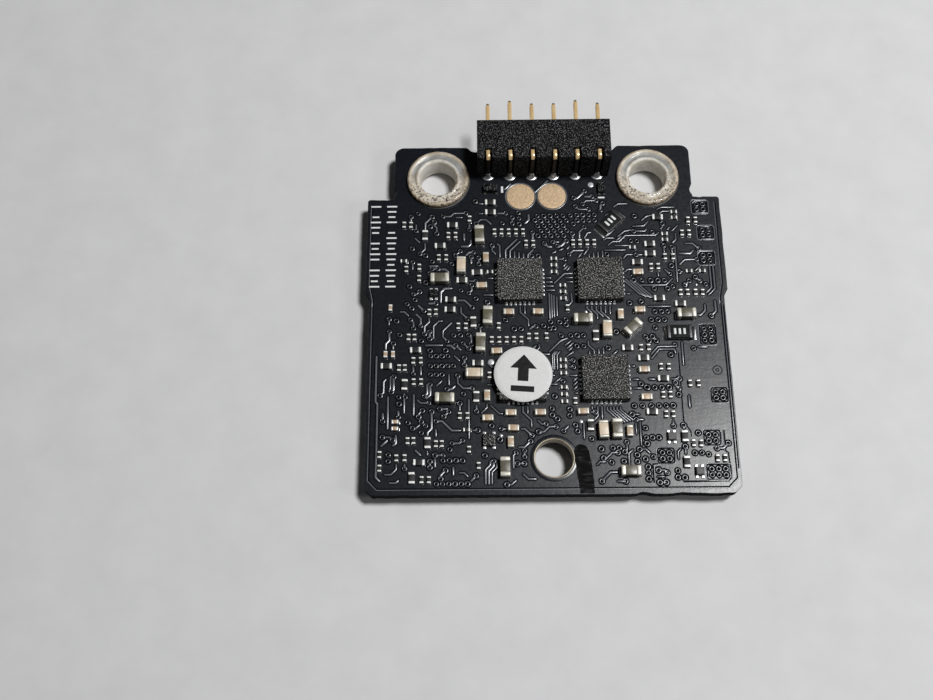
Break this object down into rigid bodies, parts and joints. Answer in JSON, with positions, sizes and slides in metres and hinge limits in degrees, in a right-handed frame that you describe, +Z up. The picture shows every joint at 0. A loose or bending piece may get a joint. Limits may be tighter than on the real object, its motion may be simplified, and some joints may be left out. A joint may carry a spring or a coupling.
{
  "type": "motor controller board",
  "caption": "Small stepped circuit board with two rubber grommets in rear tabs, four square chips, a round label, many chip parts and a right-angle pin header.",
  "frame": {"origin": "centre of the overall box at the resting plane, which is the underside of the power transistors", "axes": "+Z up from the board's upper face, +Y the way the header's pins point, +X to the right when seen from the front edge"},
  "size_m": [0.032, 0.036, 0.0056],
  "materials": {
    "pcb": "satin dark blue-black solder mask",
    "plating": "dull gold plating",
    "tin_pad": "tinned copper",
    "grommet_rubber": "beige soft rubber, slightly dirty",
    "gold_pad": "matte gold plating",
    "chip_plastic": "fine matte moulding compound",
    "solder": "bright solder",
    "label_paper": "matte white paper",
    "header_plastic": "matte black glass-filled nylon",
    "pin_gold": "gold plating",
    "grey_ceramic": "fired grey ceramic",
    "cream_ceramic": "fired cream ceramic",
    "tan_ceramic": "fired tan ceramic",
    "resistor_black": "printed resistor film",
    "shunt_black": "black resistor coating",
    "power_plastic": "matte moulding compound"
  },
  "bodies": {
    "root": {"pcb": "pcb", "front_hole_plating": "plating", "pad_ring_left": "tin_pad", "pad_ring_right": "tin_pad", "grommet_left": "grommet_rubber", "grommet_right": "grommet_rubber", "test_pad_left": "gold_pad", "test_pad_right": "gold_pad", "controller_chip_front_left": "chip_plastic", "controller_chip_front_right": "chip_plastic", "controller_chip_rear_left": "chip_plastic", "controller_chip_rear_right": "chip_plastic", "chip_leads_front_left": "solder", "chip_leads_front_right": "solder", "chip_leads_rear_left": "solder", "chip_leads_rear_right": "solder", "round_label": "label_paper", "header_block": "header_plastic", "header_solder": "solder", "grey_capacitor_bodies": "grey_ceramic", "grey_capacitor_ends": "tin_pad", "cream_capacitor_bodies": "cream_ceramic", "cream_capacitor_ends": "tin_pad", "small_capacitor_bodies": "tan_ceramic", "small_capacitor_ends": "tin_pad", "resistor_bodies": "resistor_black", "resistor_ends": "solder", "tiny_resistor_bodies": "resistor_black", "tiny_resistor_ends": "solder", "tiny_capacitor_bodies": "tan_ceramic", "tiny_capacitor_ends": "solder", "shunt_side_body": "shunt_black", "shunt_side_ends": "solder", "shunt_rear_body": "shunt_black", "shunt_rear_ends": "solder", "sensor_chip": "chip_plastic", "regulator_chip": "chip_plastic", "oscillator_side": "tin_pad", "oscillator_corner": "tin_pad", "diode_chip": "chip_plastic", "transistor_chip": "chip_plastic", "small_chip_pads": "solder", "power_transistors_front_left": "power_plastic", "power_transistors_front_right": "power_plastic", "power_transistors_rear_left": "power_plastic", "power_transistors_rear_right": "power_plastic", "power_transistor_pads": "solder", "motor_wire_pads": "solder", "battery_wire_pads": "solder", "header_pin_1": "pin_gold", "header_pin_2": "pin_gold", "header_pin_3": "pin_gold", "header_pin_4": "pin_gold", "header_pin_5": "pin_gold", "header_pin_6": "pin_gold"}
  },
  "joints": []
}
